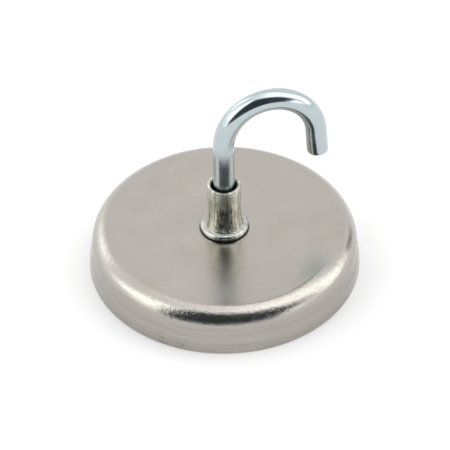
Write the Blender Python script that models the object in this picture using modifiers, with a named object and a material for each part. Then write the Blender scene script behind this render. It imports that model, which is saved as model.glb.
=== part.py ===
"""Hook magnet: a ferrite ring magnet glued in a drawn steel cup, with a threaded boss and a wire hook.

The origin is at the centre of the cup's open rim, which is the working face. +Z points from there to
the hook, and the hook is bent in the XZ plane with its tip on the +X side.
"""

import math

import bmesh
import bpy

MM = 0.001

# Cup, drawn from one steel sheet. Its wall leans in slightly towards the shoulder.
CUP_RADIUS = 40.0 * MM
CUP_HEIGHT = 13.9 * MM
SHEET = 2.0 * MM
SHOULDER_TOP_RADIUS = 39.2 * MM
SHOULDER_BEND = 5.6 * MM
RIM_BAND_HEIGHT = 4.8 * MM
RIM_BAND_STEP = 0.2 * MM
RIM_BAND_SLOPE = 0.6 * MM
RIM_CHAMFER = 0.4 * MM

# Ferrite ring, with the adhesive film above it and the cast resin ring round it.
MAGNET_RADIUS = 35.0 * MM
MAGNET_HOLE_RADIUS = 13.0 * MM
MAGNET_RECESS = 0.2 * MM
MAGNET_CHAMFER = 1.6 * MM
MAGNET_EDGE = 0.4 * MM
FILM = 0.5 * MM
FILM_INSET = 1.0 * MM
SEAL_RECESS = 0.5 * MM
SEAL_DEPTH = 5.0 * MM

# Threaded boss: a turned sleeve with a rolled mouth and a flared foot, staked over a washer in the cup.
BOSS_HEIGHT = 17.0 * MM
BOSS_RIM_RADIUS = 4.9 * MM
BOSS_RIM_ROLL = 0.42 * MM
BOSS_RIM_DEPTH = 0.95 * MM
BOSS_WAIST_RADIUS = 4.85 * MM
BOSS_GROOVE = 0.2 * MM
FLARE_HEIGHT = 9.0 * MM
FLARE_GROWTH = 1.75 * MM
FLARE_POWER = 2.9
FOOT_RADIUS = 7.13 * MM
FOOT_THICKNESS = 1.9 * MM
FOOT_ROUND = 1.1 * MM
FOOT_UNDERCUT = 0.6 * MM
SPIGOT_RADIUS = 5.0 * MM
SPIGOT_END_RADIUS = 3.7 * MM
STAKED_RADIUS = 6.1 * MM
STAKED_THICKNESS = 0.9 * MM
STAKED_BEVEL = 0.5 * MM
COUNTERBORE_RADIUS = 3.88 * MM
COUNTERBORE_DEPTH = 5.2 * MM
WASHER_RADIUS = 11.0 * MM
WASHER_THICKNESS = 1.2 * MM
WASHER_EDGE = 0.25 * MM

# Hook, bent from 1/4 inch wire and threaded 1/4-20 at its lower end.
WIRE_RADIUS = 3.175 * MM
SHANK_TOP = 45.4 * MM
BEND_HALF_WIDTH = 13.9 * MM
BEND_HEIGHT = 15.03 * MM
BEND_SWEEP = math.radians(175.9)
TIP_STRAIGHT = 8.15 * MM
THREAD_PITCH = 1.27 * MM
THREAD_CREST = 3.1 * MM
THREAD_ROOT = 2.5 * MM
THREAD_CLEARANCE = 0.17 * MM
THREAD_RELIEF = 0.7 * MM
THREAD_POINT = 0.6 * MM
HOOK_TURNS = 8
BOSS_TURNS = 10

# Pieces that touch keep this gap. Points closer than WELD become one.
GAP = 0.1 * MM
WELD = 0.01 * MM
SHARP_ANGLE = math.radians(35)

CUP_SEGMENTS = 64
SMALL_SEGMENTS = 36
WIRE_SIDES = 24
BEND_STEPS = 36
FLARE_STEPS = 6

PLATE_INSIDE = CUP_HEIGHT - SHEET
BOSS_TOP = CUP_HEIGHT + BOSS_HEIGHT
COUNTERBORE_FLOOR = BOSS_TOP - COUNTERBORE_DEPTH
WASHER_TOP = PLATE_INSIDE - GAP
STAKED_TOP = WASHER_TOP - WASHER_THICKNESS - GAP
STAKED_BOTTOM = STAKED_TOP - STAKED_THICKNESS
THREAD_TOP = COUNTERBORE_FLOOR - THREAD_RELIEF


def clear_scene():
    for obj in list(bpy.data.objects):
        bpy.data.objects.remove(obj)


def new_collection(name):
    collection = bpy.data.collections.new(name)
    bpy.context.scene.collection.children.link(collection)
    return collection


def new_material(name, colour, roughness, metallic):
    material = bpy.data.materials.new(name)
    material.use_nodes = True
    shader = material.node_tree.nodes["Principled BSDF"]
    shader.inputs["Base Color"].default_value = (*colour, 1.0)
    shader.inputs["Roughness"].default_value = roughness
    shader.inputs["Metallic"].default_value = metallic
    return material


def arc(centre, radius, start, end, steps):
    """Points (radius from the axis, height) on an arc whose angles are in degrees from +X towards +Z."""
    points = []
    for step in range(steps + 1):
        angle = math.radians(start + (end - start) * step / steps)
        points.append((centre[0] + radius * math.cos(angle), centre[1] + radius * math.sin(angle)))
    return points


def turned(name, profile, segments, material, collection):
    """A closed profile of (radius, height) points, turned once round the Z axis."""
    mesh = bpy.data.meshes.new(name)
    edges = [(i, (i + 1) % len(profile)) for i in range(len(profile))]
    mesh.from_pydata([(radius, 0.0, height) for radius, height in profile], edges, [])
    mesh.materials.append(material)
    obj = bpy.data.objects.new(name, mesh)
    collection.objects.link(obj)
    screw = obj.modifiers.new("turn", "SCREW")
    screw.steps = segments
    screw.render_steps = segments
    screw.use_merge_vertices = True
    screw.merge_threshold = WELD
    screw.use_smooth_shade = True
    return obj


def cup_shell(material, collection):
    """One sheet of even thickness: rim, wall, rounded shoulder and flat plate with a hole for the boss."""
    bend_centre = (SHOULDER_TOP_RADIUS - SHOULDER_BEND, CUP_HEIGHT - SHOULDER_BEND)
    hole = SPIGOT_RADIUS + 2 * GAP
    band_radius = SHOULDER_TOP_RADIUS + 0.5 * (CUP_RADIUS - SHOULDER_TOP_RADIUS)
    profile = [(hole, CUP_HEIGHT)]
    profile += arc(bend_centre, SHOULDER_BEND, 90, 0, 8)
    profile += [
        (band_radius, RIM_BAND_HEIGHT),
        (band_radius + RIM_BAND_STEP, RIM_BAND_HEIGHT - RIM_BAND_SLOPE),
        (CUP_RADIUS, RIM_CHAMFER),
        (CUP_RADIUS - RIM_CHAMFER, 0.0),
        (CUP_RADIUS - SHEET, 0.0),
    ]
    profile += arc(bend_centre, SHOULDER_BEND - SHEET, 0, 90, 5)
    profile.append((hole, PLATE_INSIDE))
    return turned("cup_shell", profile, CUP_SEGMENTS, material, collection)


def ring_magnet(material, collection):
    top = PLATE_INSIDE - FILM
    profile = [
        (MAGNET_HOLE_RADIUS, top),
        (MAGNET_RADIUS - MAGNET_CHAMFER, top),
        (MAGNET_RADIUS, top - MAGNET_CHAMFER),
        (MAGNET_RADIUS, MAGNET_RECESS + MAGNET_EDGE),
        (MAGNET_RADIUS - MAGNET_EDGE, MAGNET_RECESS),
        (MAGNET_HOLE_RADIUS + MAGNET_EDGE, MAGNET_RECESS),
        (MAGNET_HOLE_RADIUS, MAGNET_RECESS + MAGNET_EDGE),
    ]
    return turned("ring_magnet", profile, CUP_SEGMENTS, material, collection)


def bond_film(material, collection):
    inner = MAGNET_HOLE_RADIUS + FILM_INSET
    outer = MAGNET_RADIUS - MAGNET_CHAMFER - FILM_INSET
    top = PLATE_INSIDE - GAP
    bottom = PLATE_INSIDE - FILM + GAP
    profile = [(inner, top), (outer, top), (outer, bottom), (inner, bottom)]
    return turned("bond_film", profile, CUP_SEGMENTS, material, collection)


def gap_seal_ring(material, collection):
    """Cast resin that fills the gap between magnet and wall at the working face."""
    inner = MAGNET_RADIUS + GAP
    outer = CUP_RADIUS - SHEET - 2 * GAP
    outer_top = SHOULDER_TOP_RADIUS - SHEET
    profile = [
        (inner, SEAL_DEPTH),
        (outer_top, SEAL_DEPTH),
        (outer, SEAL_RECESS),
        (inner, SEAL_RECESS),
    ]
    return turned("gap_seal_ring", profile, CUP_SEGMENTS, material, collection)


def thread(top, turns, crest, root):
    """Ridges at the thread's pitch, downwards from top, as (radius, height) points from root to root."""
    points = [(root, top)]
    for turn in range(turns):
        points.append((crest, top - (turn + 0.5) * THREAD_PITCH))
        points.append((root, top - (turn + 1) * THREAD_PITCH))
    return points


def boss_body(height):
    """Radius of the boss's body at a height over the plate: straight at the top, flared towards the foot."""
    share = max(0.0, 1 - height / FLARE_HEIGHT)
    return BOSS_WAIST_RADIUS + FLARE_GROWTH * share ** FLARE_POWER


def threaded_boss(material, collection):
    """Rolled mouth, body, foot with a rounded edge, and the staked spigot under the plate."""
    plate = CUP_HEIGHT
    roll_centre = (BOSS_RIM_RADIUS - BOSS_RIM_ROLL, BOSS_TOP - BOSS_RIM_ROLL)
    outside = arc(roll_centre, BOSS_RIM_ROLL, 120, 0, 5)
    outside.append((BOSS_RIM_RADIUS, BOSS_TOP - BOSS_RIM_DEPTH + BOSS_GROOVE))
    outside.append((BOSS_WAIST_RADIUS - BOSS_GROOVE, BOSS_TOP - BOSS_RIM_DEPTH))
    outside.append((BOSS_WAIST_RADIUS, BOSS_TOP - BOSS_RIM_DEPTH - BOSS_GROOVE))
    for step in range(FLARE_STEPS):
        height = FLARE_HEIGHT + (FOOT_THICKNESS + GAP - FLARE_HEIGHT) * step / (FLARE_STEPS - 1)
        outside.append((boss_body(height), plate + height))
    outside += arc((FOOT_RADIUS - FOOT_ROUND, plate + FOOT_THICKNESS - FOOT_ROUND), FOOT_ROUND, 90, 0, 5)
    outside += [
        (FOOT_RADIUS, plate + FOOT_UNDERCUT + GAP),
        (FOOT_RADIUS - FOOT_UNDERCUT, plate + GAP),
        (SPIGOT_RADIUS, plate + GAP),
        (SPIGOT_RADIUS, STAKED_TOP),
        (STAKED_RADIUS, STAKED_TOP),
        (STAKED_RADIUS, STAKED_BOTTOM + STAKED_BEVEL),
        (STAKED_RADIUS - STAKED_BEVEL, STAKED_BOTTOM),
        (SPIGOT_END_RADIUS, STAKED_BOTTOM),
    ]
    root = THREAD_ROOT + THREAD_CLEARANCE
    bore = thread(THREAD_TOP, BOSS_TURNS, THREAD_CREST + THREAD_CLEARANCE, root)
    bore.append((root, STAKED_BOTTOM + SPIGOT_END_RADIUS - root))
    mouth = [(COUNTERBORE_RADIUS, COUNTERBORE_FLOOR), (COUNTERBORE_RADIUS, BOSS_TOP - BOSS_RIM_ROLL)]
    profile = outside + list(reversed(bore)) + mouth
    return turned("threaded_boss", profile, SMALL_SEGMENTS, material, collection)


def backing_washer(material, collection):
    hole = SPIGOT_RADIUS + 2 * GAP
    bottom = WASHER_TOP - WASHER_THICKNESS
    profile = [
        (hole, WASHER_TOP),
        (WASHER_RADIUS, WASHER_TOP),
        (WASHER_RADIUS, bottom + WASHER_EDGE),
        (WASHER_RADIUS - WASHER_EDGE, bottom),
        (hole, bottom),
    ]
    return turned("backing_washer", profile, SMALL_SEGMENTS, material, collection)


def hook_line(start):
    """Centreline of the wire: up the shank, over the bend, and down the short straight tip."""
    points = [(0.0, 0.0, start), (0.0, 0.0, 0.5 * (start + SHANK_TOP))]
    for step in range(BEND_STEPS + 1):
        angle = BEND_SWEEP * step / BEND_STEPS
        x = BEND_HALF_WIDTH * (1 - math.cos(angle))
        points.append((x, 0.0, SHANK_TOP + BEND_HEIGHT * math.sin(angle)))
    along_x = BEND_HALF_WIDTH * math.sin(BEND_SWEEP)
    along_z = BEND_HEIGHT * math.cos(BEND_SWEEP)
    length = math.hypot(along_x, along_z)
    end_x, _, end_z = points[-1]
    points.append((end_x + TIP_STRAIGHT * along_x / length, 0.0, end_z + TIP_STRAIGHT * along_z / length))
    return points


def wire_mesh(name, points):
    """A round wire along the points, with its end caps welded to its side."""
    curve = bpy.data.curves.new(name, "CURVE")
    curve.dimensions = "3D"
    curve.bevel_depth = WIRE_RADIUS
    curve.bevel_resolution = (WIRE_SIDES - 4) // 2
    curve.use_fill_caps = True
    spline = curve.splines.new("POLY")
    spline.points.add(len(points) - 1)
    for target, point in zip(spline.points, points):
        target.co = (*point, 1.0)
    guide = bpy.data.objects.new(name + "_guide", curve)
    bpy.context.scene.collection.objects.link(guide)
    bpy.context.view_layer.update()
    evaluated = guide.evaluated_get(bpy.context.evaluated_depsgraph_get())
    mesh = bpy.data.meshes.new_from_object(evaluated)
    bpy.data.objects.remove(guide)
    edit = bmesh.new()
    edit.from_mesh(mesh)
    bmesh.ops.remove_doubles(edit, verts=edit.verts, dist=WELD)
    bmesh.ops.recalc_face_normals(edit, faces=edit.faces)
    edit.to_mesh(mesh)
    edit.free()
    mesh.name = name
    mesh.shade_smooth()
    mesh.set_sharp_from_angle(angle=SHARP_ANGLE)
    return mesh


def hook(material, collection, cutters):
    """The bent wire, united with its threaded end, which is turned as ridges on a core."""
    wire_start = COUNTERBORE_FLOOR + 3 * GAP
    mesh = wire_mesh("hook", hook_line(wire_start))
    mesh.materials.append(material)
    obj = bpy.data.objects.new("hook", mesh)
    collection.objects.link(obj)
    core_top = wire_start + THREAD_PITCH
    end = THREAD_TOP - HOOK_TURNS * THREAD_PITCH - THREAD_POINT
    core = [(0.0, core_top), (THREAD_ROOT, core_top)]
    core += thread(THREAD_TOP, HOOK_TURNS, THREAD_CREST, THREAD_ROOT)
    core += [(THREAD_ROOT - THREAD_POINT, end), (0.0, end)]
    stem = turned("hook_thread", core, WIRE_SIDES, material, cutters)
    stem.hide_render = True
    stem.display_type = "WIRE"
    union = obj.modifiers.new("threaded_end", "BOOLEAN")
    union.operation = "UNION"
    union.solver = "EXACT"
    union.object = stem
    return obj


def main():
    clear_scene()
    parts = new_collection("hook_magnet")
    cutters = new_collection("hook_magnet_cutters")
    nickel = new_material("satin_nickel_plate", (0.62, 0.60, 0.57), 0.32, 1.0)
    ferrite = new_material("ferrite", (0.035, 0.036, 0.04), 0.6, 0.0)
    resin = new_material("cast_resin", (0.03, 0.03, 0.03), 0.35, 0.0)
    adhesive = new_material("adhesive", (0.55, 0.52, 0.42), 0.5, 0.0)
    boss_plate = new_material("yellow_zinc_plate", (0.62, 0.61, 0.5), 0.25, 1.0)
    washer_plate = new_material("plain_steel", (0.5, 0.5, 0.5), 0.4, 1.0)
    blue_zinc = new_material("blue_zinc_plate", (0.66, 0.7, 0.72), 0.15, 1.0)
    cup_shell(nickel, parts)
    ring_magnet(ferrite, parts)
    bond_film(adhesive, parts)
    gap_seal_ring(resin, parts)
    threaded_boss(boss_plate, parts)
    backing_washer(washer_plate, parts)
    hook(blue_zinc, parts, cutters)


main()
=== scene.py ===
"""Looks of the hook magnet: the visible pieces, their materials, the studio and the camera."""

import math

import bpy
from mathutils import Matrix, Vector, noise


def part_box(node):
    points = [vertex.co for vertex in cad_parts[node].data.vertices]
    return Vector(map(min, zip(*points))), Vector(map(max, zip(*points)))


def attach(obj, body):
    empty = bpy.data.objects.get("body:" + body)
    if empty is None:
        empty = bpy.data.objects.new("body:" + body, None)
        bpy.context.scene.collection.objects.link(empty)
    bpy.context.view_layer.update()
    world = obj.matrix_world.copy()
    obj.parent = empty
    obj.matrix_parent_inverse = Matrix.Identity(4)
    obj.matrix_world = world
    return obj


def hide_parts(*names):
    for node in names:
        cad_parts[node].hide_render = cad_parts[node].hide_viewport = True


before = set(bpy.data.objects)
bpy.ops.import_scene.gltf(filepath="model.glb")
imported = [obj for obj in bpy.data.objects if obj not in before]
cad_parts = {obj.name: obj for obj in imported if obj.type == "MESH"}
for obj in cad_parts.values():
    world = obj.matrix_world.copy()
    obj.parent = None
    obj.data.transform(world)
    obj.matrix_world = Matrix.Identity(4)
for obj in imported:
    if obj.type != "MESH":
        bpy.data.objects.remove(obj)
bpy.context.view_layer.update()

MM = 0.001

# Sizes that the frame gives.
_, cup_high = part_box("cup_shell")
magnet_low, magnet_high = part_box("ring_magnet")
film_low, film_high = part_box("bond_film")
seal_low, seal_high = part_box("gap_seal_ring")
boss_low, boss_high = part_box("threaded_boss")
washer_low, washer_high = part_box("backing_washer")
hook_low, hook_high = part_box("hook")

CUP_RADIUS = cup_high.x
PLATE = cup_high.z
BOSS_TOP = boss_high.z
WIRE_RADIUS = hook_high.y

# Sizes that the boxes don't give, as in the design. The lip and the groove under it are measured down
# from the boss's top, and the heights of its foot, flare and body up from the plate.
SHEET = 2.0 * MM
SHOULDER_TOP_RADIUS = 39.2 * MM
SHOULDER_BEND = 5.6 * MM
BAND_HEIGHT = 4.7 * MM
BAND_HALF = 0.4 * MM
BAND_DIP = 0.07 * MM
BAND_PROUD = 0.14 * MM
RIM_ROUND = 0.45 * MM
SPIGOT_RADIUS = 5.0 * MM
SPIGOT_END_RADIUS = 3.7 * MM
STAKED_RADIUS = 6.1 * MM
MAGNET_HOLE_RADIUS = 13.0 * MM
MAGNET_CHAMFER = 1.6 * MM
FILM_INSET = 1.0 * MM
BOSS_RIM_RADIUS = 4.9 * MM
BOSS_WAIST_RADIUS = 4.85 * MM
FLARE_HEIGHT = 9.0 * MM
FLARE_GROWTH = 1.75 * MM
FLARE_POWER = 2.9
FOOT_THICKNESS = 1.9 * MM
FOOT_ROUND = 1.1 * MM
BOSS_RIM_ROLL = 0.42 * MM
LIP_HEIGHT = 0.80 * MM
GROOVE_DEPTH = 0.22 * MM
GROOVE_FLOOR = 0.98 * MM
GROOVE_END = 1.25 * MM
BODY_HEIGHT = 15.0 * MM
COUNTERBORE_RADIUS = 3.88 * MM
COUNTERBORE_FLARE = 0.35 * MM
COUNTERBORE_DEPTH = 5.2 * MM
THREAD_PITCH = 1.27 * MM
THREAD_CREST = 3.1 * MM
THREAD_ROOT = 2.5 * MM
THREAD_CLEARANCE = 0.17 * MM
THREAD_RELIEF = 0.7 * MM
CREST_HALF = 0.06 * MM
HOOK_TURNS = 8
BOSS_TURNS = 10
BEND_HALF_WIDTH = 13.9 * MM
BEND_HEIGHT = 15.03 * MM
BEND_SWEEP = math.radians(175.9)
TIP_STRAIGHT = 8.15 * MM
TIP_EDGE = 0.3 * MM
GAP = 0.1 * MM

PLATE_INSIDE = PLATE - SHEET
SHANK_TOP = hook_high.z - WIRE_RADIUS - BEND_HEIGHT
COUNTERBORE_FLOOR = BOSS_TOP - COUNTERBORE_DEPTH
THREAD_TOP = COUNTERBORE_FLOOR - THREAD_RELIEF

# The view: azimuth 0 looks along +Y.
VIEW_AZIMUTH = math.radians(-13.44)
VIEW_ELEVATION = math.radians(42.23)
VIEW_ROLL = math.radians(-0.58)
VIEW_DISTANCE = 1.6
VIEW_LENS = 434.0
SENSOR = 36.0
AIM_RIGHT = 0.19 * MM
AIM_HEIGHT = 14.49 * MM

# How many faces go round each piece, and how far the floor reaches from the centre in metres.
FINE_SEGMENTS = 256
FILM_SEGMENTS = 192
WASHER_SEGMENTS = 128
WIRE_SIDES = 64
FLOOR_HALF = 8.0

# Colours of the parts of the light tent. A part of brightness 1 or more shows as white.
BACK_LIGHT = (1.06, 1.06, 1.06)
SIDE_LIGHT = (2.4, 2.4, 2.39)
LOW_RIGHT_LIGHT = (0.82, 0.83, 0.83)
LOW_LEFT_LIGHT = (1.35, 1.34, 1.32)
GAP_LIGHT = (0.05, 0.062, 0.07)
BOX_LEFT_LIGHT = (1.2, 1.2, 1.2)
BOX_RIGHT_LIGHT = (2.1, 2.1, 2.1)
BOX_EDGE_LIGHT = (0.9, 0.9, 0.9)


# ---------------------------------------------------------------- profiles and meshes


def rounded(corners, turn_step=math.radians(6), support=0.12 * MM):
    """A closed outline through (radius, height, fillet) corners, with short chords for the fillets."""
    outline = []
    count = len(corners)
    for index in range(count):
        here = Vector(corners[index][:2])
        before = (Vector(corners[index - 1][:2]) - here).normalized()
        after = (Vector(corners[(index + 1) % count][:2]) - here).normalized()
        fillet = corners[index][2]
        between = before.angle(after)
        if fillet <= 0 or math.pi - between < 0.01:
            outline.append(tuple(here))
            continue
        reach = fillet / math.tan(between / 2)
        centre = here + (before + after).normalized() * (fillet / math.sin(between / 2))
        start = here + before * reach - centre
        sweep = math.pi - between
        sign = 1 if before.x * after.y - before.y * after.x < 0 else -1
        steps = max(2, round(sweep / turn_step))
        outline.append(tuple(here + before * (reach + support)))
        for step in range(steps + 1):
            angle = sign * sweep * step / steps
            cos, sin = math.cos(angle), math.sin(angle)
            radius = centre.x + start.x * cos - start.y * sin
            height = centre.y + start.x * sin + start.y * cos
            outline.append((radius, height))
        outline.append(tuple(here + after * (reach + support)))
    return outline


def finish_mesh(name, points, faces, body, node, material, smooth_angle):
    """A visible piece that rides on a body and replaces a CAD node. Edges over smooth_angle stay sharp."""
    mesh = bpy.data.meshes.new(name)
    mesh.from_pydata(points, [], faces)
    mesh.update()
    mesh.shade_smooth()
    mesh.set_sharp_from_angle(angle=math.radians(smooth_angle))
    mesh.materials.append(material)
    piece = bpy.data.objects.new(name, mesh)
    bpy.context.scene.collection.objects.link(piece)
    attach(piece, body)
    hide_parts(node)
    return piece


def revolve(outline, segments, shape=None):
    """(points, faces) of an outline turned about Z.

    shape, if given, takes a point's (radius, height, angle) and returns its new (radius, height).
    """
    count = len(outline)
    points = []
    for segment in range(segments):
        angle = math.tau * segment / segments
        cos, sin = math.cos(angle), math.sin(angle)
        for radius, height in outline:
            if shape:
                radius, height = shape(radius, height, angle)
            points.append((radius * cos, radius * sin, height))
    faces = []
    for segment in range(segments):
        here, after = segment * count, (segment + 1) % segments * count
        for index in range(count):
            following = (index + 1) % count
            faces.append((here + index, here + following, after + following, after + index))
    return points, faces


def ring_noise(angle, height, around, along, seed):
    """Smooth noise from about -1 to 1 on the surface of a turned piece, with no seam."""
    return noise.noise((around * math.cos(angle), around * math.sin(angle), along * height / MM + seed))


# ---------------------------------------------------------------- material nodes


class Graph:
    """Short calls that add nodes to one node tree and return an output socket."""

    def __init__(self, owner):
        owner.use_nodes = True
        self.tree = owner.node_tree

    def node(self, kind, inputs=None, **settings):
        """A new node. An input that is a socket is linked, and any other is set as a value."""
        made = self.tree.nodes.new(kind)
        for key, value in settings.items():
            setattr(made, key, value)
        for key, value in (inputs or {}).items():
            if isinstance(value, bpy.types.NodeSocket):
                self.tree.links.new(value, made.inputs[key])
            else:
                made.inputs[key].default_value = value
        return made

    def math(self, operation, first, second=0.0):
        """One step of arithmetic on numbers."""
        return self.node("ShaderNodeMath", {0: first, 1: second}, operation=operation).outputs[0]

    def times(self, first, *others):
        """The product of two or more values."""
        product = first
        for other in others:
            product = self.math("MULTIPLY", product, other)
        return product

    def vector(self, operation, first, second=(0.0, 0.0, 0.0)):
        """One step of arithmetic on vectors, as a vector or as the number that it gives."""
        made = self.node("ShaderNodeVectorMath", {0: first, 1: second}, operation=operation)
        return made.outputs["Value" if operation in ("DOT_PRODUCT", "LENGTH", "DISTANCE") else "Vector"]

    def range(self, value, low, high, to_low=0.0, to_high=1.0):
        """A smooth step from to_low, where the value is low, to to_high, where it is high."""
        inputs = {"Value": value, "From Min": low, "From Max": high, "To Min": to_low, "To Max": to_high}
        return self.node("ShaderNodeMapRange", inputs, interpolation_type="SMOOTHSTEP").outputs[0]

    def millimetres(self, scale=(1.0, 1.0, 1.0), turn=0.0):
        """The object's own coordinates in millimetres, turned about Z, then scaled along each axis."""
        own = self.node("ShaderNodeTexCoord").outputs["Object"]
        turned = self.node("ShaderNodeVectorRotate", {"Vector": own, "Angle": turn}, rotation_type="Z_AXIS")
        return self.vector("MULTIPLY", turned.outputs[0], tuple(1000 * s for s in scale))

    def around(self, turns, along):
        """Coordinates on a turned piece: direction from the axis times turns, height in mm times along."""
        own = self.node("ShaderNodeTexCoord").outputs["Object"]
        flat = self.vector("MULTIPLY", own, (1.0, 1.0, 0.0))
        outward = self.vector("NORMALIZE", flat)
        height = self.vector("MULTIPLY", own, (0.0, 0.0, 1000 * along))
        return self.vector("ADD", self.vector("MULTIPLY", outward, (turns, turns, turns)), height)

    def noise(self, coordinates, detail=3.0, roughness=0.5):
        """Noise from 0 to 1, whose size the coordinates' own scale sets."""
        inputs = {"Vector": coordinates, "Scale": 1.0, "Detail": detail, "Roughness": roughness}
        return self.node("ShaderNodeTexNoise", inputs).outputs["Fac"]

    def spot(self, place, reach, grain=0.5):
        """1 in a ragged spot and 0 outside it. place and reach are in mm, grain is the noise's scale."""
        away = self.vector("DISTANCE", self.millimetres(), place)
        uneven = self.noise(self.millimetres((grain,) * 3), detail=4.0)
        ragged = self.range(uneven, 0.3, 0.7, -0.5 * reach, 0.5 * reach)
        return self.range(self.math("ADD", away, ragged), 0.35 * reach, reach, 1.0, 0.0)

    def mix(self, factor, first, second):
        """The first colour where the factor is 0 and the second where it is 1."""
        inputs = {"Factor": factor, "A": first, "B": second}
        made = self.node("ShaderNodeMix", data_type="RGBA")
        for key, value in inputs.items():
            sockets = [s for s in made.inputs if s.name == key and s.enabled]
            if isinstance(value, bpy.types.NodeSocket):
                self.tree.links.new(value, sockets[0])
            else:
                sockets[0].default_value = value if key == "Factor" else (*value, 1.0)
        return next(s for s in made.outputs if s.enabled)

    def bump(self, height, distance, under=None):
        """A normal with relief: where height is 1 it stands a distance proud, on top of the one under it."""
        inputs = {"Height": height, "Distance": distance, "Strength": 1.0}
        if under:
            inputs["Normal"] = under
        return self.node("ShaderNodeBump", inputs).outputs["Normal"]


def new_material(name, metallic, roughness):
    """(material, its graph, its shader), with an even metallic and roughness value to start from."""
    material = bpy.data.materials.new(name)
    graph = Graph(material)
    shader = graph.tree.nodes["Principled BSDF"]
    shader.inputs["Metallic"].default_value = metallic
    shader.inputs["Roughness"].default_value = roughness
    return material, graph, shader


def wire_up(graph, shader, colour, roughness, normal):
    """Link the finished colour, roughness and normal to the shader."""
    graph.tree.links.new(colour, shader.inputs["Base Color"])
    graph.tree.links.new(roughness, shader.inputs["Roughness"])
    graph.tree.links.new(normal, shader.inputs["Normal"])


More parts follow.
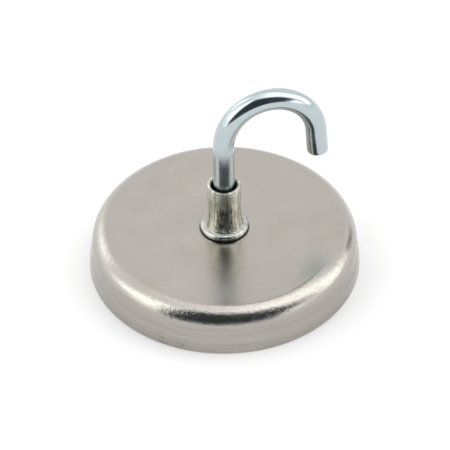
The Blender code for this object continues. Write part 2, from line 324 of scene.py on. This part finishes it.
def satin_nickel():
    """Nickel plate over drawn sheet: a fine grain, pale blotches, a mottled bend, draw marks and stains,
    with painted shade on the wall and round the boss's foot and a painted highlight on the bend.
    """
    material, g, shader = new_material("satin_nickel_look", 1.0, 0.25)
    blotch = g.noise(g.millimetres((0.09, 0.09, 0.09)), detail=4.0, roughness=0.6)
    tint = g.noise(g.millimetres((0.05, 0.05, 0.05), 0.7), detail=2.0)
    scratch = g.noise(g.millimetres((0.25, 11.0, 11.0), 0.23), detail=3.0, roughness=0.6)
    grain = g.noise(g.millimetres((6.0, 6.0, 6.0)), detail=3.0, roughness=0.7)
    mottle = g.noise(g.millimetres((0.9, 0.9, 0.9)), detail=4.0, roughness=0.65)
    speck = g.noise(g.millimetres((1.5, 1.5, 1.5)), detail=4.0, roughness=0.75)
    marks = g.noise(g.around(2.5, 1.3), detail=4.0, roughness=0.65)

    # Where on the cup: distance from the axis, height and bearing, and the masks that follow from them.
    away = g.vector("LENGTH", g.millimetres((1.0, 1.0, 0.0)))
    along = g.vector("DOT_PRODUCT", g.millimetres(), (1.0, 0.0, 0.0))
    across = g.vector("DOT_PRODUCT", g.millimetres(), (0.0, 1.0, 0.0))
    height = g.vector("DOT_PRODUCT", g.millimetres(), (0.0, 0.0, 1.0))
    bearing = g.times(g.math("ARCTAN2", across, along), math.degrees(1))
    on_bend = g.range(away, 32.0, 35.5)
    on_wall = g.range(height, 9.2, 12.2, 1.0, 0.0)
    # Mask of the painted contact shadow: a ring on the plate just round the boss's foot.
    foot_contact_shadow = g.range(away, 7.15, 7.6, 1.0, 0.0)
    draw_line = g.times(g.range(height, 6.0, 6.6), g.range(height, 6.7, 7.3, 1.0, 0.0))

    # The plate's colour, then the bend's marks and specks, a paler painted highlight on the bend's crown,
    # then the wall darkened as painted shade.
    colour = g.mix(g.range(blotch, 0.3, 0.7), (0.433, 0.412, 0.372), (0.470, 0.447, 0.407))
    colour = g.mix(g.range(tint, 0.42, 0.62, 0.0, 0.8), colour, (0.462, 0.425, 0.396))
    colour = g.mix(g.range(grain, 0.3, 0.7, 0.0, 0.12), colour, (0.36, 0.34, 0.31))
    bend_marks = g.times(g.range(marks, 0.52, 0.72, 0.0, 0.35), on_bend)
    colour = g.mix(bend_marks, colour, (0.37, 0.34, 0.31))
    dark_specks = g.times(g.range(speck, 0.54, 0.72, 0.0, 0.45), on_bend)
    colour = g.mix(dark_specks, colour, (0.29, 0.265, 0.24))
    pale_specks = g.times(g.range(speck, 0.32, 0.46, 0.3, 0.0), on_bend)
    colour = g.mix(pale_specks, colour, (0.62, 0.60, 0.56))
    # Painted highlight: a paler, whiter colour on the bend's crown, where the highlight from the overhead
    # light falls.
    colour = g.mix(g.range(away, 35.2, 36.6, 0.0, 0.5), colour, (0.49, 0.48, 0.445))
    # Painted shade: the wall's colour is darkened to offset the glowing floor that it reflects.
    colour = g.mix(g.times(on_wall, 0.6), colour, (0.385, 0.355, 0.322))
    wall_marks = g.times(g.range(marks, 0.50, 0.66, 0.0, 0.35), on_wall)
    colour = g.mix(wall_marks, colour, (0.27, 0.25, 0.225))
    colour = g.mix(g.times(draw_line, 0.18), colour, (0.30, 0.26, 0.24))

    # A greenish patch on the plate, a brown streak along the bend, flecks at the rim, and a painted contact
    # shadow round the boss's foot.
    green_patch = g.times(g.spot((21.7, -22.8, 13.9), 6.0), 0.5)
    colour = g.mix(green_patch, colour, (0.37, 0.41, 0.37))
    streak_length = g.times(g.range(bearing, -31.0, -25.0), g.range(bearing, -19.0, -8.0, 1.0, 0.0))
    streak_width = g.times(g.range(away, 36.4, 37.0), g.range(away, 37.4, 38.1, 1.0, 0.0))
    streak = g.times(streak_length, streak_width, g.range(mottle, 0.30, 0.60, 0.35, 0.75))
    colour = g.mix(streak, colour, (0.15, 0.105, 0.078))
    for place, reach in (
        ((-26.0, -30.2, 2.0), 2.4),
        ((-21.7, -33.5, 1.2), 2.6),
        ((-14.0, -37.2, 1.0), 1.6),
    ):
        fleck = g.times(g.spot(place, reach, 1.6), g.range(speck, 0.50, 0.62), 0.55)
        colour = g.mix(fleck, colour, (0.12, 0.10, 0.09))
    # Painted contact shadow: a near-black ring on the plate round the boss's foot.
    colour = g.mix(foot_contact_shadow, colour, (0.03, 0.03, 0.028))

    # The bend is glossier than the plate, with more relief.
    flat_rough = g.math("ADD", g.range(blotch, 0.3, 0.7, 0.22, 0.26), g.range(grain, 0.4, 0.8, 0.0, 0.04))
    roughness = g.math("SUBTRACT", flat_rough, g.times(on_bend, 0.11))
    pits = g.times(g.range(speck, 0.54, 0.68), g.range(marks, 0.42, 0.62, 0.25, 1.0))
    normal = g.bump(scratch, 0.0022 * MM)
    normal = g.bump(grain, 0.0075 * MM, under=normal)
    normal = g.bump(g.times(mottle, on_bend), 0.10 * MM, under=normal)
    normal = g.bump(g.times(pits, on_bend), 0.014 * MM, under=normal)
    normal = g.bump(g.times(marks, on_bend), 0.05 * MM, under=normal)
    wire_up(g, shader, colour, roughness, normal)
    return material


def ferrite():
    """Sintered ferrite: near black, ground across its face, with a fine grit."""
    material, g, shader = new_material("ferrite_look", 0.0, 0.55)
    grind = g.noise(g.millimetres((0.25, 6.0, 6.0), 0.6), detail=4.0, roughness=0.7)
    grit = g.noise(g.millimetres((4.0, 4.0, 4.0)), detail=4.0, roughness=0.7)
    patch = g.noise(g.millimetres((0.12, 0.12, 0.12)), detail=2.0)
    colour = g.mix(g.range(grit, 0.35, 0.75), (0.022, 0.023, 0.026), (0.050, 0.051, 0.056))
    colour = g.mix(g.range(patch, 0.4, 0.7, 0.0, 0.4), colour, (0.060, 0.060, 0.064))
    roughness = g.range(grind, 0.3, 0.7, 0.42, 0.66)
    normal = g.bump(grit, 0.02 * MM, under=g.bump(grind, 0.01 * MM))
    wire_up(g, shader, colour, roughness, normal)
    return material


def cast_resin():
    """Poured resin: dark and glossy, with slow waves and pinholes."""
    material, g, shader = new_material("cast_resin_look", 0.0, 0.3)
    wave = g.noise(g.millimetres((0.35, 0.35, 0.35)), detail=2.0)
    pits = g.noise(g.millimetres((2.2, 2.2, 2.2)), detail=2.0)
    colour = g.mix(wave, (0.016, 0.016, 0.018), (0.040, 0.040, 0.043))
    roughness = g.range(pits, 0.3, 0.7, 0.22, 0.40)
    normal = g.bump(g.range(pits, 0.62, 0.75), -0.05 * MM, under=g.bump(wave, 0.15 * MM))
    wire_up(g, shader, colour, roughness, normal)
    return material


def cured_adhesive():
    """Cured film adhesive: cloudy yellowish, lumpy and half glossy."""
    material, g, shader = new_material("adhesive_look", 0.0, 0.45)
    lumps = g.noise(g.millimetres((0.6, 0.6, 0.6)), detail=3.0)
    colour = g.mix(lumps, (0.42, 0.36, 0.22), (0.62, 0.56, 0.40))
    roughness = g.range(lumps, 0.3, 0.7, 0.3, 0.55)
    wire_up(g, shader, colour, roughness, g.bump(lumps, 0.1 * MM))
    return material


def yellow_zinc():
    """Pale yellow zinc: dark streaks down the body, cloudy patches, a dull mouth and a greyer foot."""
    material, g, shader = new_material("yellow_zinc_look", 1.0, 0.2)
    streak = g.noise(g.around(6.5, 0.06), detail=3.0, roughness=0.65)
    patch = g.noise(g.around(3.0, 0.45), detail=4.0, roughness=0.65)
    turning = g.noise(g.around(0.3, 5.0), detail=2.0)
    height = g.vector("DOT_PRODUCT", g.millimetres(), (0.0, 0.0, 1.0))
    mouth = BOSS_TOP / MM
    dull = g.range(height, mouth - 8.0, mouth - 2.0)
    foot = g.range(height, PLATE / MM + 1.6, PLATE / MM + 3.2, 1.0, 0.0)
    colour = g.mix(g.range(patch, 0.38, 0.62), (0.47, 0.48, 0.41), (0.76, 0.755, 0.66))
    colour = g.mix(g.range(streak, 0.48, 0.64, 0.0, 0.8), colour, (0.20, 0.21, 0.17))
    colour = g.mix(g.times(foot, 0.7), colour, (0.44, 0.46, 0.43))
    roughness = g.math("ADD", g.range(patch, 0.35, 0.65, 0.17, 0.28), g.times(dull, 0.14))
    normal = g.bump(turning, 0.006 * MM, under=g.bump(streak, 0.20 * MM))
    normal = g.bump(patch, 0.06 * MM, under=normal)
    wire_up(g, shader, colour, roughness, normal)
    return material


def plain_steel():
    """Bare steel: patchy grey with fine scratches one way."""
    material, g, shader = new_material("plain_steel_look", 1.0, 0.35)
    scratch = g.noise(g.millimetres((0.3, 7.0, 7.0), 1.1), detail=4.0, roughness=0.7)
    patch = g.noise(g.millimetres((0.3, 0.3, 0.3)), detail=3.0)
    colour = g.mix(patch, (0.42, 0.42, 0.43), (0.56, 0.56, 0.56))
    roughness = g.range(patch, 0.3, 0.7, 0.28, 0.45)
    wire_up(g, shader, colour, roughness, g.bump(scratch, 0.01 * MM))
    return material


def blue_zinc():
    """Bright bluish zinc on drawn wire: fine lines, faint clouds, a few specks and a duller shank."""
    material, g, shader = new_material("blue_zinc_look", 1.0, 0.14)
    lines = g.noise(g.millimetres((5.0, 5.0, 0.25)), detail=3.0, roughness=0.6)
    cloud = g.noise(g.millimetres((0.22, 0.22, 0.22)), detail=3.0)
    speck = g.noise(g.millimetres((1.6, 1.6, 1.6)), detail=3.0)
    colour = g.mix(cloud, (0.465, 0.53, 0.55), (0.52, 0.58, 0.60))
    colour = g.mix(g.range(speck, 0.68, 0.78, 0.0, 0.5), colour, (0.38, 0.42, 0.42))
    height = g.vector("DOT_PRODUCT", g.millimetres(), (0.0, 0.0, 1.0))
    handled = g.range(height, BOSS_TOP / MM, SHANK_TOP / MM, 0.10, 0.0)
    roughness = g.math("ADD", g.range(cloud, 0.3, 0.7, 0.10, 0.16), g.range(speck, 0.66, 0.76, 0.0, 0.12))
    roughness = g.math("ADD", roughness, handled)
    wire_up(g, shader, colour, roughness, g.bump(lines, 0.004 * MM))
    return material


# ---------------------------------------------------------------- pieces


def make_cup():
    """The drawn shell, with its outer wall leaning out towards the rim and a slight band above it."""
    lean = (CUP_RADIUS - SHOULDER_TOP_RADIUS) / (PLATE - SHOULDER_BEND)
    corner = CUP_RADIUS - lean * PLATE
    band = CUP_RADIUS - lean * BAND_HEIGHT
    hole = SPIGOT_RADIUS + 2 * GAP
    outline = rounded([
        (hole, PLATE, 0.15 * MM),
        (corner, PLATE, SHOULDER_BEND),
        (band - BAND_DIP, BAND_HEIGHT + BAND_HALF, 0.5 * MM),
        (band + BAND_PROUD, BAND_HEIGHT - BAND_HALF, 0.5 * MM),
        (CUP_RADIUS, 0.0, RIM_ROUND),
        (CUP_RADIUS - SHEET, 0.0, 0.3 * MM),
        (corner - SHEET, PLATE_INSIDE, SHOULDER_BEND - SHEET),
        (hole, PLATE_INSIDE, 0.15 * MM),
    ], turn_step=math.radians(3))
    points, faces = revolve(outline, FINE_SEGMENTS)
    return finish_mesh("cup_skin", points, faces, "magnet", "cup_shell", satin_nickel(), 40)


def make_magnet():
    """The ferrite ring, chamfered at its glued side."""
    low, high, radius = magnet_low.z, magnet_high.z, magnet_high.x
    outline = rounded([
        (MAGNET_HOLE_RADIUS, high, 0.2 * MM),
        (radius - MAGNET_CHAMFER, high, 0.3 * MM),
        (radius, high - MAGNET_CHAMFER, 0.3 * MM),
        (radius, low, 0.35 * MM),
        (MAGNET_HOLE_RADIUS, low, 0.35 * MM),
    ], turn_step=math.radians(18))

    def chipped(r, z, angle):
        """Small chips out of the two edges of the working face."""
        near = min(abs(r - radius), abs(r - MAGNET_HOLE_RADIUS)) + abs(z - low)
        share = max(0.0, 1 - near / (0.9 * MM))
        chip = max(0.0, ring_noise(angle, r, 26.0, 0.4, 3.1) - 0.32) * share
        return r, z + 0.5 * MM * chip

    points, faces = revolve(outline, FINE_SEGMENTS, chipped)
    return finish_mesh("magnet_ring_body", points, faces, "magnet", "ring_magnet", ferrite(), 35)


def make_film():
    """The adhesive between the ring and the plate."""
    inner, outer = MAGNET_HOLE_RADIUS + FILM_INSET, film_high.x
    outline = rounded([
        (inner, film_high.z, 0.1 * MM),
        (outer, film_high.z, 0.1 * MM),
        (outer, film_low.z, 0.1 * MM),
        (inner, film_low.z, 0.1 * MM),
    ], turn_step=math.radians(30), support=0.03 * MM)

    def uneven(r, z, angle):
        """The inner edge wanders where the adhesive was pressed out."""
        share = max(0.0, 1 - (r - inner) / (1.0 * MM))
        return r + 0.5 * MM * share * ring_noise(angle, 0.0, 4.0, 0.0, 7.7), z

    points, faces = revolve(outline, FILM_SEGMENTS, uneven)
    return finish_mesh("adhesive_film", points, faces, "magnet", "bond_film", cured_adhesive(), 40)


def make_seal():
    """Resin ring whose face is drawn in between the magnet and the wall as it set."""
    inner, outer = magnet_high.x + GAP, seal_high.x
    low, high = seal_low.z, seal_high.z
    middle = (inner + outer) / 2
    outline = rounded([
        (inner, high, 0.1 * MM),
        (SHOULDER_TOP_RADIUS - SHEET, high, 0.1 * MM),
        (outer, low, 0.15 * MM),
        (middle, low + 0.35 * MM, 2.0 * MM),
        (inner, low, 0.15 * MM),
    ], turn_step=math.radians(8), support=0.03 * MM)

    def wavy(r, z, angle):
        """Low waves in the face of the resin."""
        share = max(0.0, 1 - (z - low) / (1.0 * MM))
        return r, z + 0.08 * MM * share * max(0.0, ring_noise(angle, r, 6.0, 0.5, 1.3))

    points, faces = revolve(outline, FINE_SEGMENTS, wavy)
    return finish_mesh("resin_ring", points, faces, "magnet", "gap_seal_ring", cast_resin(), 40)


def thread_corners(turns, crest, root):
    """Ridges at the thread's pitch, downwards from the thread's top, as sharp corners for an outline."""
    corners = [(root, THREAD_TOP, 0.0)]
    for turn in range(turns):
        corners.append((crest, THREAD_TOP - (turn + 0.5) * THREAD_PITCH, 0.0))
        corners.append((root, THREAD_TOP - (turn + 1) * THREAD_PITCH, 0.0))
    return corners


def boss_body(height):
    """Radius of the boss's body at a height over the plate: straight at the top, flared towards the foot."""
    share = max(0.0, 1 - height / FLARE_HEIGHT)
    return BOSS_WAIST_RADIUS + FLARE_GROWTH * share ** FLARE_POWER


def make_boss():
    """Rolled mouth with a groove under it, a drawn body, and a flared foot with a rounded edge."""
    foot = boss_high.x
    spigot_end = washer_low.z - GAP
    staked_end = boss_low.z
    outside = [
        (COUNTERBORE_RADIUS, BOSS_TOP - 0.45 * MM, 0.20 * MM),
        (COUNTERBORE_RADIUS + COUNTERBORE_FLARE, BOSS_TOP, 0.20 * MM),
        (BOSS_RIM_RADIUS, BOSS_TOP, BOSS_RIM_ROLL),
        (BOSS_RIM_RADIUS, BOSS_TOP - LIP_HEIGHT, 0.16 * MM),
        (BOSS_WAIST_RADIUS - GROOVE_DEPTH, BOSS_TOP - GROOVE_FLOOR, 0.10 * MM),
        (BOSS_WAIST_RADIUS, BOSS_TOP - GROOVE_END, 0.20 * MM),
    ]
    body_bottom, body_steps = FOOT_THICKNESS + 0.4 * MM, 26
    for step in range(body_steps + 1):
        height = BODY_HEIGHT + (body_bottom - BODY_HEIGHT) * step / body_steps
        outside.append((boss_body(height), PLATE + height, 0.0))
    outside += [
        (boss_body(body_bottom) + 0.1 * MM, PLATE + FOOT_THICKNESS, 0.25 * MM),
        (foot, PLATE + FOOT_THICKNESS, FOOT_ROUND),
        (foot, PLATE + GAP, 0.6 * MM),
        (SPIGOT_RADIUS, PLATE + GAP, 0.05 * MM),
        (SPIGOT_RADIUS, spigot_end, 0.05 * MM),
        (STAKED_RADIUS, spigot_end, 0.15 * MM),
        (STAKED_RADIUS - 0.3 * MM, staked_end, 0.25 * MM),
        (SPIGOT_END_RADIUS, staked_end, 0.3 * MM),
    ]
    root = THREAD_ROOT + THREAD_CLEARANCE
    bore = thread_corners(BOSS_TURNS, THREAD_CREST + THREAD_CLEARANCE, root)
    bore.append((root, staked_end + 1.0 * MM, 0.2 * MM))
    outline = rounded(outside + bore[::-1] + [(COUNTERBORE_RADIUS, COUNTERBORE_FLOOR, 0.2 * MM)],
                      turn_step=math.radians(9), support=0.02 * MM)

    def drawn(r, z, angle):
        """Shallow hollows and ridges that run down the body, from drawing the sleeve."""
        height = z - PLATE
        on_body = FOOT_THICKNESS <= height and z <= BOSS_TOP - 1.0 * MM
        if not on_body or r < COUNTERBORE_RADIUS + 0.2 * MM:
            return r, z
        share = min(1.0, (height - FOOT_THICKNESS) / (1.5 * MM))
        lines = ring_noise(angle, z, 7.0, 0.05, 5.5) + 0.5 * ring_noise(angle, z, 19.0, 0.12, 9.1)
        return r + 0.05 * MM * share * lines, z

    points, faces = revolve(outline, FINE_SEGMENTS, drawn)
    return finish_mesh("boss_sleeve", points, faces, "magnet", "threaded_boss", yellow_zinc(), 50)


def make_washer():
    """The flat washer, whose lower outer edge is the rounder one."""
    hole = SPIGOT_RADIUS + 2 * GAP
    outline = rounded([
        (hole, washer_high.z, 0.1 * MM),
        (washer_high.x, washer_high.z, 0.15 * MM),
        (washer_high.x, washer_low.z, 0.35 * MM),
        (hole, washer_low.z, 0.1 * MM),
    ], turn_step=math.radians(15), support=0.04 * MM)
    points, faces = revolve(outline, WASHER_SEGMENTS)
    return finish_mesh("washer_plate", points, faces, "magnet", "backing_washer", plain_steel(), 40)


def hook_stations():
    """(x, height, turn of the wire's direction from +Z towards +X, radius) along the wire, end to end."""
    stations = []
    bottom = hook_low.z
    end = THREAD_TOP - HOOK_TURNS * THREAD_PITCH
    for height, radius in (
        (bottom, 0.0),
        (bottom, 1.2 * MM),
        (bottom + 0.12 * MM, 1.75 * MM),
        (end - 0.1 * MM, THREAD_ROOT),
    ):
        stations.append((0.0, height, 0.0, radius))
    for ridge in range(2 * HOOK_TURNS + 1):
        height = end + ridge * THREAD_PITCH / 2
        radius = THREAD_CREST if ridge % 2 else THREAD_ROOT
        for offset in (-CREST_HALF, CREST_HALF):
            stations.append((0.0, height + offset, 0.0, radius))
    shoulder = COUNTERBORE_FLOOR + 3 * GAP
    for height, radius in (
        (shoulder - 0.5 * MM, THREAD_ROOT),
        (shoulder - 0.05 * MM, THREAD_ROOT + 0.1 * MM),
        (shoulder + 0.35 * MM, WIRE_RADIUS - 0.05 * MM),
        (shoulder + 0.5 * MM, WIRE_RADIUS),
    ):
        stations.append((0.0, height, 0.0, radius))
    shank_steps, bend_steps, tip_steps = 24, 120, 10
    first = shoulder + 0.6 * MM
    for step in range(shank_steps):
        stations.append((0.0, first + (SHANK_TOP - first) * step / shank_steps, 0.0, WIRE_RADIUS))
    for step in range(bend_steps + 1):
        sweep = BEND_SWEEP * step / bend_steps
        x = BEND_HALF_WIDTH * (1 - math.cos(sweep))
        height = SHANK_TOP + BEND_HEIGHT * math.sin(sweep)
        turn = math.atan2(BEND_HALF_WIDTH * math.sin(sweep), BEND_HEIGHT * math.cos(sweep))
        stations.append((x, height, turn, WIRE_RADIUS))
    x, height, turn, _ = stations[-1]
    along_x, along_z = math.sin(turn), math.cos(turn)
    for step in range(1, tip_steps + 1):
        run = (TIP_STRAIGHT - TIP_EDGE) * step / tip_steps
        stations.append((x + run * along_x, height + run * along_z, turn, WIRE_RADIUS))
    edge_steps = 5
    for step in range(1, edge_steps + 1):
        angle = math.radians(90 * step / edge_steps)
        run = TIP_STRAIGHT - TIP_EDGE * (1 - math.sin(angle))
        radius = WIRE_RADIUS - TIP_EDGE * (1 - math.cos(angle))
        stations.append((x + run * along_x, height + run * along_z, turn, radius))
    for share in (0.5, 0.0):
        radius = (WIRE_RADIUS - TIP_EDGE) * share
        stations.append((x + TIP_STRAIGHT * along_x, height + TIP_STRAIGHT * along_z, turn, radius))
    return stations


def make_hook():
    """Round wire swept along the stations; the first and last station are single points."""
    stations = hook_stations()
    points = []
    rings = []
    for x, height, turn, radius in stations:
        if radius == 0.0:
            rings.append([len(points)] * WIRE_SIDES)
            points.append((x, 0.0, height))
            continue
        rings.append(list(range(len(points), len(points) + WIRE_SIDES)))
        for side in range(WIRE_SIDES):
            angle = math.tau * side / WIRE_SIDES
            out = radius * math.cos(angle)
            sideways = radius * math.sin(angle)
            points.append((x + out * math.cos(turn), sideways, height - out * math.sin(turn)))
    faces = []
    for lower, upper in zip(rings, rings[1:]):
        for side in range(WIRE_SIDES):
            following = (side + 1) % WIRE_SIDES
            corners = (lower[side], lower[following], upper[following], upper[side])
            faces.append(tuple(dict.fromkeys(corners)))
    return finish_mesh("hook_wire", points, faces, "hook", "hook", blue_zinc(), 45)


# ---------------------------------------------------------------- studio


def make_floor():
    """A white floor that glows a little, so that it stays white round the soft shadow."""
    half = FLOOR_HALF
    corners = [(-half, -half, 0), (half, -half, 0), (half, half, 0), (-half, half, 0)]
    mesh = bpy.data.meshes.new("studio_floor")
    mesh.from_pydata(corners, [], [(0, 1, 2, 3)])
    material, _, shader = new_material("studio_floor_white", 0.0, 0.6)
    shader.inputs["Base Color"].default_value = (0.68, 0.68, 0.68, 1.0)
    shader.inputs["Emission Color"].default_value = (1.0, 1.0, 1.0, 1.0)
    shader.inputs["Emission Strength"].default_value = 0.30
    shader.inputs["Specular IOR Level"].default_value = 0.0
    mesh.materials.append(material)
    floor = bpy.data.objects.new("studio_floor", mesh)
    bpy.context.scene.collection.objects.link(floor)


def make_studio_light():
    """A light tent: a softbox overhead, bright sides, a grey back and an unlit gap at the front.

    Bearings are in degrees from the front, positive to the right as seen from there, and heights are in
    degrees over the horizon.
    """
    world = bpy.data.worlds.new("studio_tent")
    bpy.context.scene.world = world
    g = Graph(world)
    background = next(n for n in g.tree.nodes if n.type == "BACKGROUND")
    towards = g.node("ShaderNodeTexCoord").outputs["Generated"]
    front = (math.sin(VIEW_AZIMUTH), -math.cos(VIEW_AZIMUTH), 0.0)
    right = (math.cos(VIEW_AZIMUTH), math.sin(VIEW_AZIMUTH), 0.0)
    ahead = g.vector("DOT_PRODUCT", towards, front)
    aside = g.vector("DOT_PRODUCT", towards, right)
    up = g.vector("DOT_PRODUCT", towards, (0.0, 0.0, 1.0))
    bearing = g.times(g.math("ARCTAN2", aside, ahead), math.degrees(1))
    height = g.times(g.math("ARCSINE", up), math.degrees(1))

    def between(value, low, high, soft):
        """1 from low to high, 0 outside, with soft edges."""
        over = g.range(value, low - soft, low + soft)
        return g.times(over, g.range(value, high - soft, high + soft, 1.0, 0.0))

    # Bright sides, which are dimmer near the floor.
    on_sides = between(bearing, -142.0, 115.0, 10.0)
    light = g.mix(on_sides, BACK_LIGHT, SIDE_LIGHT)
    low_right = g.times(g.range(bearing, 30.0, 60.0), g.range(height, 0.0, 12.0, 1.0, 0.0))
    light = g.mix(low_right, light, LOW_RIGHT_LIGHT)
    low_left = g.times(g.range(bearing, -70.0, -50.0, 1.0, 0.0), g.range(height, 8.0, 22.0, 1.0, 0.0))
    light = g.mix(g.times(low_left, on_sides), light, LOW_LEFT_LIGHT)

    # The unlit gap at the front, whose right limit draws in towards the floor.
    tapered = g.math("ADD", bearing, g.range(height, 8.0, 24.0, 24.0, 0.0))
    gap_width = g.times(g.range(bearing, -61.0, -45.0), g.range(tapered, 58.0, 74.0, 1.0, 0.0))
    in_gap = g.times(gap_width, g.range(height, -5.0, 5.0))
    light = g.mix(in_gap, light, GAP_LIGHT)

    # The softbox overhead, brighter to the right and dimmer at its front edge.
    above = g.math("MAXIMUM", up, 0.05)
    forward = g.math("DIVIDE", g.math("SUBTRACT", ahead, g.times(aside, 0.3)), above)
    box = g.mix(g.range(aside, -0.4, 0.4), BOX_LEFT_LIGHT, BOX_RIGHT_LIGHT)
    box = g.mix(g.range(g.math("DIVIDE", ahead, above), 0.24, 0.50), box, BOX_EDGE_LIGHT)
    light = g.mix(between(forward, -0.62, 0.33, 0.09), light, box)
    g.tree.links.new(light, background.inputs["Color"])
    background.inputs["Strength"].default_value = 1.0


def make_camera():
    """A long lens that looks down at the object from the front, turned by the roll about its own axis."""
    sin, cos = math.sin(VIEW_AZIMUTH), math.cos(VIEW_AZIMUTH)
    level, rise = math.cos(VIEW_ELEVATION), math.sin(VIEW_ELEVATION)
    back = Vector((sin * level, -cos * level, rise))
    right = Vector((cos, sin, 0.0))
    above = back.cross(right)
    turn_cos, turn_sin = math.cos(VIEW_ROLL), math.sin(VIEW_ROLL)
    rolled_right = right * turn_cos + above * turn_sin
    rolled_above = above * turn_cos - right * turn_sin
    place = right * AIM_RIGHT + Vector((0, 0, AIM_HEIGHT)) + back * VIEW_DISTANCE
    data = bpy.data.cameras.new("camera")
    data.lens = VIEW_LENS
    data.sensor_width = SENSOR
    data.clip_start, data.clip_end = 0.05, 20.0
    camera = bpy.data.objects.new("camera", data)
    bpy.context.scene.collection.objects.link(camera)
    camera.matrix_world = Matrix((
        (rolled_right.x, rolled_above.x, back.x, place.x),
        (rolled_right.y, rolled_above.y, back.y, place.y),
        (rolled_right.z, rolled_above.z, back.z, place.z),
        (0, 0, 0, 1),
    ))
    bpy.context.scene.camera = camera


make_camera()
make_floor()
make_studio_light()
bpy.context.scene.view_settings.view_transform = "Standard"

make_cup()
make_magnet()
make_film()
make_seal()
make_boss()
make_washer()
make_hook()
